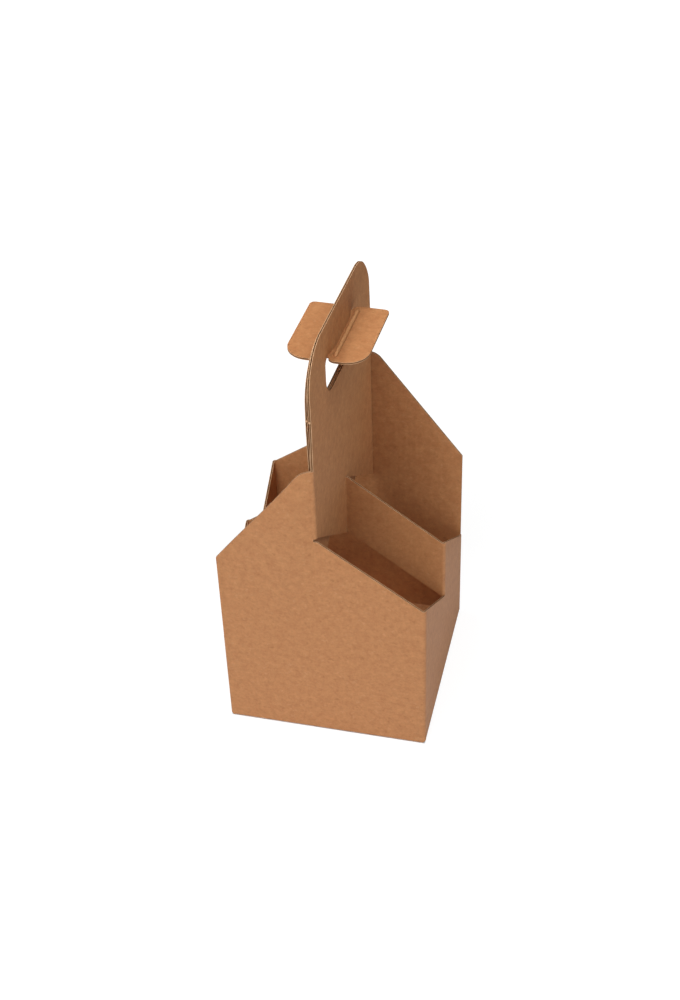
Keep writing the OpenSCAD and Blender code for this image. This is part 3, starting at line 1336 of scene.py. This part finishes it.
@dataclass(frozen=True)
class Studio:
    """White paper floor in a white room, with soft boxes in front and above on both sides.

    Lengths are in metres.
    """

    floor_half: float = 6.0
    floor_white: float = 0.8
    # Share of the floor's look that is plain white, so that only a faint shadow is left, and
    # the strength of that white
    floor_glow: float = 0.75
    glow: float = 1.12
    # Light that the floor adds to what it throws back, as from a table lit from below
    floor_light: float = 0.22
    # Distances behind the middle between which the table fades, and what is left beyond
    fade_from: float = 0.08
    fade_to: float = 0.3
    far_share: float = 0.2
    # Distances all round between which the floor turns plain white, and half the dark square
    # under the carrier that shows through its seams
    white_from: float = 0.15
    white_to: float = 0.35
    dark_half: float = 0.0645
    ambient: float = 0.05
    lamps: tuple[Lamp, ...] = (
        Lamp("front_box", (-0.12, -0.66, 0.72), 1.2, 27.0),
        Lamp("top_left_box", (-0.4, -0.05, 0.9), 1.2, 21.5),
        Lamp("top_right_box", (0.5, -0.12, 0.88), 1.1, 16.5),
    )

    def floor_paper(self) -> Material:
        """Make the white seamless paper of the floor.

        The camera sees a mix of lit paper and plain white, all other rays the lit paper.

        Returns:
            The material.
        """
        material, tree = new_material("white_seamless_paper")
        camera_ray = add_node(tree, "ShaderNodeLightPath").outputs["Is Camera Ray"]
        place = add_node(tree, "ShaderNodeTexCoord").outputs["Object"]
        axes = add_node(tree, "ShaderNodeSeparateXYZ", (place,)).outputs
        away = add_node(tree, "ShaderNodeVectorMath", (place,), operation="LENGTH").outputs["Value"]

        # 0 in the square under the carrier and 1 round it
        across, ahead = (
            add_node(tree, "ShaderNodeMath", (axes[axis],), operation="ABSOLUTE").outputs[0] for axis in "XY"
        )
        square = add_node(tree, "ShaderNodeMath", (across, ahead), operation="MAXIMUM").outputs[0]
        limit = square, self.dark_half
        clear = add_node(tree, "ShaderNodeMath", limit, operation="GREATER_THAN").outputs[0]

        # Share of plain white by the distance from the middle, and of light by that behind it
        whiter = away, self.white_from, self.white_to, self.floor_glow, 1.0
        dimmer = axes["Y"], self.fade_from, self.fade_to, 1.0, self.far_share
        white, light = (add_node(tree, "ShaderNodeMapRange", way).outputs[0] for way in (whiter, dimmer))
        open_white, open_light, tint = (
            add_node(tree, "ShaderNodeMath", pair, operation="MULTIPLY").outputs[0]
            for pair in ((white, clear), (light, clear), (light, self.floor_white))
        )
        seen_white, strength = (
            add_node(tree, "ShaderNodeMath", pair, operation="MULTIPLY").outputs[0]
            for pair in ((open_white, camera_ray), (open_light, self.floor_light))
        )
        paper = add_node(tree, "ShaderNodeBsdfDiffuse", (tint,)).outputs[0]
        table = add_node(tree, "ShaderNodeEmission", (WHITE, strength)).outputs[0]
        lit = add_node(tree, "ShaderNodeAddShader", (paper, table)).outputs[0]
        glow = add_node(tree, "ShaderNodeEmission", (WHITE, self.glow)).outputs[0]
        mixed = add_node(tree, "ShaderNodeMixShader", (seen_white, lit, glow)).outputs[0]
        add_node(tree, "ShaderNodeOutputMaterial", (mixed,))
        return material

    def add_floor(self) -> None:
        """Lay the floor as one square."""
        half = self.floor_half
        mesh = bpy.data.meshes.new("floor")
        corners = [(-half, -half, 0), (half, -half, 0), (half, half, 0), (-half, half, 0)]
        mesh.from_pydata(corners, [], [(0, 1, 2, 3)])
        mesh.materials.append(self.floor_paper())
        floor = bpy.data.objects.new("floor", mesh)
        bpy.context.scene.collection.objects.link(floor)

    def add_room(self) -> None:
        """Set up the white room, which the camera sees as white and which lights faintly."""
        world = bpy.data.worlds.new("white_room")
        world.use_nodes = True
        tree = world.node_tree
        tree.nodes.clear()
        camera_ray = add_node(tree, "ShaderNodeLightPath").outputs["Is Camera Ray"]
        seen = add_node(tree, "ShaderNodeMapRange", (camera_ray, 0.0, 1.0, self.ambient, 1.0)).outputs[0]
        light = add_node(tree, "ShaderNodeBackground", (WHITE, seen)).outputs[0]
        add_node(tree, "ShaderNodeOutputWorld", (light,))
        bpy.context.scene.world = world

    def build(self) -> None:
        """Set up floor, room and lamps."""
        self.add_floor()
        self.add_room()
        for lamp in self.lamps:
            lamp.build()
        bpy.context.scene.view_settings.view_transform = "Standard"


# Faces of the board: smooth and dull. Cut edges: paler, torn fibres. The bead: paler paper as a
# painted highlight, and smoother where the fold rubbed it. Between the liners: darker paper of used
# fibres, darkened further as painted shade in the flute cavities
LINER = PaperFinish("kraft_liner_machine_finished", "#c18859", "#b57b4f", "#8a5630", "#d8a87a")
CUT_EDGE = PaperFinish(
    "kraft_liner_die_cut_edge", "#d6af8a", "#cca27b", "#b98f66", "#e0c2a2", roughness=0.92
)
# Paler paper of the bead: a painted highlight where it catches light, smoother than the liner
BEAD_HIGHLIGHT = PaperFinish(
    "kraft_liner_crease_painted_highlight", "#cf9868", "#c89160", "#96623a", "#e0b48a", roughness=0.5
)
# Flute paper: the medium's own darker tone, darkened further as painted shade of the flute cavities
MEDIUM_AND_FLUTE_SHADE = PaperFinish("fluting_medium_recycled_with_painted_flute_shade", "#9a6c46", "#8d603c", "#6f4726", "#b58a62", roughness=0.9)


def main() -> None:
    """Build the carrier, its hand flaps and the studio."""
    logging.basicConfig(level=logging.INFO, format="%(name)s %(message)s")
    sizes = Sizes.from_frame()
    board = Corrugated(sizes.board)
    materials = [LINER.build(), CUT_EDGE.build(), MEDIUM_AND_FLUTE_SHADE.build()]
    bead_highlight = BEAD_HIGHLIGHT.build()
    for side in Side:
        HalfSheet(sizes, board, side).build(materials)
        flap = HandFlap(sizes, board, side)
        flap.build(materials)
        FlapCrease(sizes, flap).build(materials[Layer.LINER.value], bead_highlight)
    Studio().build()
    PhotoCamera().build()


if __name__ == "__main__":
    main()
